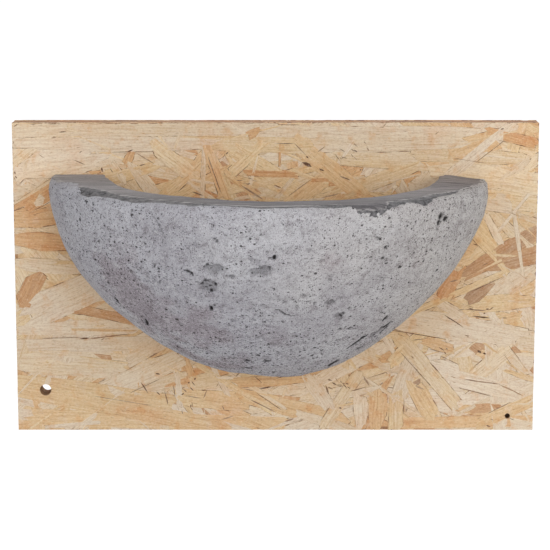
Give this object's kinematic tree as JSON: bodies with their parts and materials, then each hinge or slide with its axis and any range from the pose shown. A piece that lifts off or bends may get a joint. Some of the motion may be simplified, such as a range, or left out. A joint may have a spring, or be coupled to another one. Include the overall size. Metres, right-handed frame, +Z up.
{
  "type": "swallow nest box",
  "caption": "Open half-bowl nest cup of cast concrete, screwed from behind to a flat strand board that is fixed to a wall so that swallows can nest in it.",
  "frame": {"origin": "centre of the board's rear face, where the board lies on the wall", "axes": "+Y into the wall, +X to the right of someone who faces the nest, +Z up; the bowl stands out along -Y"},
  "size_m": [0.25, 0.1161, 0.15],
  "materials": {
    "strand_board": "bare pressed strands, sawn edges",
    "cast_concrete": "rough cast with open pores, trowelled rim",
    "zinc_steel": "bright zinc plated",
    "nylon": "moulded, matt"
  },
  "bodies": {
    "root": {"back_board": "strand_board", "nest_bowl": "cast_concrete", "screw_left": "zinc_steel", "screw_right": "zinc_steel", "screw_lower": "zinc_steel", "plug_left": "nylon", "plug_right": "nylon", "plug_lower": "nylon"}
  },
  "joints": []
}
